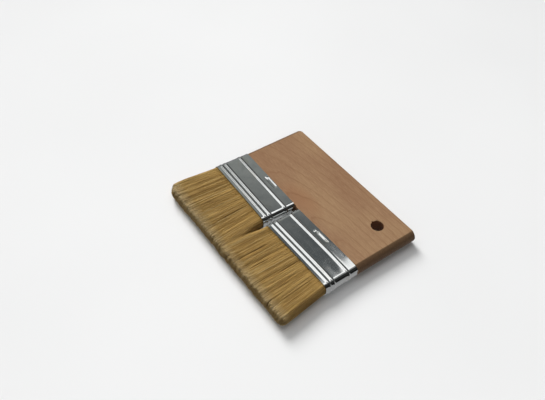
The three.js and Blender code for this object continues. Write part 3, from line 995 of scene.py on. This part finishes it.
def keep_inside(path_u, path_w, v, ferrule):
    """Holds the hairs inside the pack's own box, above the middle plane."""
    outer = PACK_HALF_WIDTH + ferrule.flare_outer * opening(v)
    inner = PACK_HALF_WIDTH + (ferrule.flare_inner + PACKS_CROSS) * opening(v)
    inner = inner + CROSSING_ROOM * smooth(opening(v), *CROSSING_STARTS)
    low = np.where(ferrule.side > 0, -inner, -outer) - BOX_SLACK
    high = np.where(ferrule.side > 0, outer, inner) + BOX_SLACK
    ceiling = PACK_HALF_THICKNESS + BOX_SLACK + TIP_SPREAD * opening(v)
    return np.clip(path_u, low, high), np.clip(path_w, LOWEST_W, ceiling)


def hair_points(ferrule, face, v, path_u, path_w, radius):
    """Each hair's points as a thin cone: three for each knot but the last, and one at its tip."""
    count, knots = v.shape
    lines = ferrule.place(path_u, v, face * path_w)
    heading = np.gradient(lines, axis=1)
    heading /= np.linalg.norm(heading, axis=2, keepdims=True)
    right = np.cross(heading, np.array([0.0, 0.0, 1.0]))
    right /= np.linalg.norm(right, axis=2, keepdims=True)
    upward = np.cross(right, heading)
    rounds = radius[:, None] * (1 - HAIR_TAPER * knot_shares(knots) ** 4)
    phase = (np.arange(count) * GOLDEN_TURN)[:, None]
    rings = np.empty((count, knots - 1, HAIR_SIDES, 3))
    for side in range(HAIR_SIDES):
        turn = phase + 2 * math.pi * side / HAIR_SIDES
        offset = np.cos(turn)[..., None] * right + np.sin(turn)[..., None] * upward
        rings[:, :, side] = (lines + offset * rounds[..., None])[:, :-1]
    return np.concatenate([rings.reshape(count, -1, 3), lines[:, -1:]], axis=1)


def hair_faces(knots):
    """One hair's faces as numbers of its own points, and each corner's place in its bake cell."""
    body = knots - 1
    faces, places = [], []
    for knot in range(body):
        low, high = knot / body, (knot + 1) / body
        here, there = knot * HAIR_SIDES, (knot + 1) * HAIR_SIDES
        for side in range(HAIR_SIDES):
            after = (side + 1) % HAIR_SIDES
            left, right = side / HAIR_SIDES, (side + 1) / HAIR_SIDES
            if knot < body - 1:
                faces.append((here + side, here + after, there + after, there + side))
                places.append(((left, low), (right, low), (right, high), (left, high)))
            else:
                faces.append((here + side, here + after, there))
                places.append(((left, low), (right, low), ((left + right) / 2, 1.0)))
    faces.append((2, 1, 0))
    places.append(((0.0, 0.0), (0.5, 0.0), (1.0, 0.0)))
    return faces, places


def per_point(values):
    """A value for each knot of each hair, as one for each of the hair's points."""
    return np.concatenate([np.repeat(values[:, :-1], HAIR_SIDES, axis=1), values[:, -1:]], axis=1)


CELLS_ACROSS = 92  # each hair has its own cell in the bake, above a strip for the core
CELLS_UP = 90
CORE_STRIP = 0.03
CELL_MARGIN = (0.12, 0.10)
# The core is painted dark, a darker hair tone with deep painted shade, as the shade between the hairs.
CORE_PAINTED_SHADE_TONE = (0.30, 0.3, 0.8, 1.0)
INNER_ALONG = 0.85  # inner hairs show less of the pale tip


def bristle_row(ferrule, face, material):
    """One row of hairs round a core painted dark as shade, in place of its CAD solid."""
    level = "upper" if face > 0 else "lower"
    draw = np.random.default_rng(ferrule.seed + (3 if face > 0 else 7))
    share = draw.uniform(0, 1, SKIN_HAIRS)
    depth = SKIN_DEPTH * draw.uniform(0, 1, SKIN_HAIRS) ** 1.4
    u, w = skin_points(share, depth)
    skin_sunk = SKIN_SUNK * depth / SKIN_DEPTH
    starts = np.full(SKIN_HAIRS, ROOT_V)
    skin = hair_paths(ferrule, face, u, w, skin_sunk, SKIN_KNOTS, starts, draw)

    u, w = inner_points(draw)
    # inner_sunk is painted shade for the inner hairs, darker lower in the pack; it also limits how
    # short they wear.
    inner_sunk = 0.60 - 0.07 * w
    starts = tip_v(ferrule, u, w) - draw.uniform(*INNER_LENGTHS, INNER_HAIRS)
    inner = hair_paths(ferrule, face, u, w, inner_sunk, INNER_KNOTS, starts, draw)

    shape = Shape()
    tones, spots = [], []
    batches = ((skin, skin_sunk, 0, HAIR_RADIUS, 1.0),
               (inner, inner_sunk, SKIN_HAIRS, INNER_HAIR_RADIUS, INNER_ALONG))
    for (v, path_u, path_w, shade), sunk, first_cell, radius, along_share in batches:
        count, knots = v.shape
        path_u, path_w = keep_inside(path_u, path_w, v, ferrule)
        radii = radius * draw.uniform(*HAIR_RADIUS_SPREAD, count)
        points = hair_points(ferrule, face, v, path_u, path_w, radii)
        per_hair = points.shape[1]
        first = shape.add(points)[0]
        tone = np.ones((count, per_hair, 4))
        tone[:, :, 0] = per_point(shade)
        tone[:, :, 1] = per_point(np.clip(opening(v), 0, 1)) * along_share
        # Painted shade: the third channel darkens the hairs that lie deep in the pack.
        tone[:, :, 2] = np.clip(sunk, 0, 1)[:, None]
        tones.append(tone.reshape(-1, 4))
        cell = np.arange(count) + first_cell
        column, line = (cell % CELLS_ACROSS)[:, None], (cell // CELLS_ACROSS)[:, None]
        for corners, places in zip(*hair_faces(knots)):
            numbers = first + np.arange(count)[:, None] * per_hair + np.array(corners)
            shape.faces.extend(map(tuple, numbers.tolist()))
            across, up = (margin + (1 - 2 * margin) * np.array(places)[:, axis]
                          for axis, margin in enumerate(CELL_MARGIN))
            bake_u = (column + across) / CELLS_ACROSS
            bake_v = CORE_STRIP + (1 - CORE_STRIP) * (line + up) / CELLS_UP
            spots.append(np.stack([bake_u, bake_v], axis=-1).reshape(-1, 2))

    core_points, core_faces = core_shape(ferrule, face)
    first = shape.add(core_points)[0]
    for corners in core_faces:
        shape.faces.append(tuple(first + n for n in corners))
        spots.append(np.tile([0.5, CORE_STRIP / 2], (len(corners), 1)))
    tones.append(np.tile(CORE_PAINTED_SHADE_TONE, (len(core_points), 1)))
    shape.finishes = [0] * len(shape.faces)

    row = shape.make(f"hair_{ferrule.name}_{level}", [material], sharp_degrees=180)
    tone_layer = row.data.color_attributes.new("tone", "FLOAT_COLOR", "POINT")
    tone_layer.data.foreach_set("color", np.concatenate(tones).ravel())
    bake_layer = row.data.uv_layers.new(name="OFBake")
    bake_layer.data.foreach_set("uv", np.concatenate(spots).ravel())
    finish_piece(row, f"bristles_{ferrule.name}_{level}")


CORE_AROUND = 40
CORE_INSET = 0.9
CORE_STATIONS = (20.5, FERRULE_LENGTH, 38.0, ROWS_MEET, 60.0, TIP_LINE - 5.0)
CORE_SQUARENESS = (0.12, 0.35)  # nearer 0 is squarer, across and up
CORE_FLOORS = (FILLER_HALF_ROOM + 0.1, 0.2)  # beside the filler strip, and where the rows meet
CORE_LAST_HEIGHT = 0.8


def core_shape(ferrule, face):
    """A closed core under the hairs, painted dark as the shade deep in the pack, so that nothing shows
    through between them.
    """
    angles = np.linspace(0, math.pi, CORE_AROUND)
    ceiling = PACK_HALF_THICKNESS - CORE_INSET
    across = np.sign(np.cos(angles)) * np.abs(np.cos(angles)) ** CORE_SQUARENESS[0]
    up = np.abs(np.sin(angles)) ** CORE_SQUARENESS[1]
    u = (PACK_HALF_WIDTH - CORE_INSET) * across
    points = []
    for v in CORE_STATIONS:
        closing = smooth(v, FERRULE_LENGTH, ROWS_MEET)
        floor = CORE_FLOORS[0] * (1 - closing) + CORE_FLOORS[1] * closing
        height = (ceiling - floor) * (CORE_LAST_HEIGHT if v == CORE_STATIONS[-1] else 1.0)
        w = floor + height * up
        points.append(ferrule.place(spread_u(ferrule, u, v), v, face * spread_w(w, v)))
    last = (len(CORE_STATIONS) - 1) * CORE_AROUND
    faces = []
    for first in range(0, last, CORE_AROUND):
        for i in range(CORE_AROUND):
            here, after = first + i, first + (i + 1) % CORE_AROUND
            faces.append([here, after, after + CORE_AROUND, here + CORE_AROUND])
    faces.append(list(range(CORE_AROUND))[::-1])
    faces.append(list(range(last, last + CORE_AROUND)))
    if face < 0:
        faces = [corners[::-1] for corners in faces]
    return np.concatenate(points), faces


# ---- stage ----

CAMERA_AZIMUTH = 52.045
CAMERA_ELEVATION = 46.765
CAMERA_ROLL = 2.906
CAMERA_DISTANCE = 525.58
CAMERA_TARGET = (-25.004, 1.036, 0.65)
CAMERA_LENS = 41.84
CAMERA_SENSOR = 36.0
LAMP_HEIGHT = 900.0  # the overhead lamp's own sizes are shares of its height
LAMP_NEAR, LAMP_FAR = -0.06, 0.665
LAMP_LEFT, LAMP_RIGHT = -0.95, 0.42
LAMP_SLANT = math.radians(-5)
LAMP_POWER = 2.81
FILL_PLACE = (250, -700, 650)  # to the camera's right, forward of the brush, and up
FILL_SIZE = (600, 600)
FILL_POWER = 1.0
KEY_PLACE = (-1100, 200, 800)
KEY_STRENGTH = 3.45  # the key is broad and soft, and the metal doesn't mirror it
KEY_ANGLE = math.radians(28)
FLOOR_HALF = 6000.0
FLOOR_DROP = 0.03  # the tinplate's ripples stand nearly this far proud
# Stops of (place, colour). In the room, place runs from 0 straight down to 1 straight up.
ROOM_FAR = (
    (0.49, (0.40, 0.40, 0.405)), (0.51, 0.09), (0.74, 0.09), (0.82, (0.37, 0.39, 0.37)),
    (0.86, (0.24, 0.25, 0.245)), (0.885, (0.11, 0.12, 0.125)), (0.903, (0.11, 0.12, 0.125)),
    (0.925, 0.34), (1.00, 0.34),
)
ROOM_NEAR = (
    (0.49, (0.40, 0.40, 0.405)), (0.51, 0.52), (0.70, 0.36), (0.88, (0.24, 0.25, 0.25)),
    (1.00, (0.16, 0.17, 0.17)),
)
WINDOW_HEIGHTS = ((0.60, 0.0), (0.65, 1.0), (0.74, 1.0), (0.79, 0.0))
WINDOW = (0.42, 0.43, 0.43)
BACKDROP = 0.74


def camera_axes():
    """The camera's right, up and back directions, before its roll."""
    turn, tilt = math.radians(CAMERA_AZIMUTH), math.radians(CAMERA_ELEVATION)
    flat = math.cos(tilt)
    back = Vector((math.sin(turn) * flat, -math.cos(turn) * flat, math.sin(tilt)))
    right = Vector((math.cos(turn), math.sin(turn), 0))
    return right, back.cross(right), back


def stage_object(name, data):
    made = bpy.data.objects.new(name, data)
    bpy.context.scene.collection.objects.link(made)
    return made


def aim(thing, place, target, right_hint):
    """Puts a light or camera at a place, looking at a target."""
    thing.location = Vector(place) * MM
    back = (Vector(place) - Vector(target)).normalized()
    up = back.cross(right_hint).normalized()
    rotation = thing.rotation_euler.to_matrix()
    rotation.col[0], rotation.col[1], rotation.col[2] = up.cross(back), up, back
    thing.rotation_euler = rotation.to_euler()


def make_camera():
    data = bpy.data.cameras.new("camera")
    data.sensor_width = CAMERA_SENSOR
    data.lens = CAMERA_LENS
    data.clip_start = 0.01
    data.clip_end = 50.0
    camera = stage_object("camera", data)
    right, up, back = camera_axes()
    roll = math.radians(CAMERA_ROLL)
    turned = math.cos(roll) * right + math.sin(roll) * up
    aim(camera, Vector(CAMERA_TARGET) + CAMERA_DISTANCE * back, CAMERA_TARGET, turned)
    bpy.context.scene.camera = camera


def make_lamp(name, kind, power, place, target, across, mirrored, **settings):
    data = bpy.data.lights.new(name, kind)
    data.energy = power
    for key, value in settings.items():
        setattr(data, key, value)
    lamp = stage_object(name, data)
    lamp.visible_glossy = mirrored
    aim(lamp, place, target, across)


def make_softbox(name, power, place, target, across, mirrored, width, height):
    size = {"shape": "RECTANGLE", "size": width * MM, "size_y": height * MM}
    make_lamp(name, "AREA", power, place, target, across, mirrored, **size)


def make_lights():
    """An overhead softbox that ends where the metal's reflections turn dark, a key and a fill."""
    right, _, back = camera_axes()
    forward = Vector((-back.x, -back.y, 0)).normalized()
    ahead, aside = (LAMP_NEAR + LAMP_FAR) / 2, (LAMP_LEFT + LAMP_RIGHT) / 2
    place = LAMP_HEIGHT * (ahead * forward + aside * right + Vector((0, 0, 1)))
    below = place - Vector((0, 0, 1))
    across = math.cos(LAMP_SLANT) * right + math.sin(LAMP_SLANT) * forward
    width, depth = (LAMP_RIGHT - LAMP_LEFT) * LAMP_HEIGHT, (LAMP_FAR - LAMP_NEAR) * LAMP_HEIGHT
    make_softbox("overhead", LAMP_POWER, place, below, across, True, width, depth)
    middle = (0, 0, 0)
    along = Vector((0, 1, 0))
    make_lamp("key", "SUN", KEY_STRENGTH, KEY_PLACE, middle, along, False, angle=KEY_ANGLE)
    place = FILL_PLACE[0] * right + FILL_PLACE[1] * forward + Vector((0, 0, FILL_PLACE[2]))
    make_softbox("fill", FILL_POWER, place, middle, right, False, *FILL_SIZE)


def make_world():
    """A room that is dim behind the brush and paler in front. The camera sees a plain backdrop."""
    world = bpy.data.worlds.new("room")
    bpy.context.scene.world = world
    world.use_nodes = True
    room = Graph(world.node_tree)
    x, y, z = room.split(room.node("ShaderNodeTexCoord").outputs["Generated"])
    from_left, from_front, from_below = (room.scale_add(value, 0.5, 0.5) for value in (x, y, z))
    right_side = room.fade(from_left, 0.55, 0.68, 1.0, 0.12)
    above = room.math("GREATER_THAN", z, 0.0)
    far = room.mix(above, room.ramp(from_below, ROOM_FAR), right_side, blend="MULTIPLY")
    pane = room.ramp(from_below, WINDOW_HEIGHTS)
    window = room.times(room.fade(from_left, 0.10, 0.18, 1.0, 0.0), pane)
    windowed = room.mix(window, far, WINDOW)
    nearness = room.fade(from_front, 0.15, 0.21, 1.0, 0.0)
    seen = room.mix(nearness, windowed, room.ramp(from_below, ROOM_NEAR))
    camera = room.node("ShaderNodeLightPath").outputs["Is Camera Ray"]
    room.feed(room.tree.nodes["Background"].inputs[0], room.mix(camera, seen, BACKDROP))


def make_floor():
    shape = Shape()
    signs = ((-1, -1), (1, -1), (1, 1), (-1, 1))
    shape.face(shape.add([(x * FLOOR_HALF, y * FLOOR_HALF, -FLOOR_DROP) for x, y in signs]))
    floor = shape.make("floor", [floor_paper()])
    floor.visible_glossy = False


# ---- the whole ----


def main():
    make_camera()
    make_lights()
    make_world()
    make_floor()
    bpy.context.scene.view_settings.view_transform = "Standard"

    make_board(beech(), bored_beech())
    tin = tinplate()
    hair = bristle()
    hidden = {"filler_strip": pine(), "resin": resin()}
    for ferrule in FERRULES:
        make_ferrule(ferrule, tin)
        for face in (1, -1):
            bristle_row(ferrule, face, hair)
        for node, material in hidden.items():
            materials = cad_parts[f"{node}_{ferrule.name}"].data.materials
            materials.clear()
            materials.append(material)


main()
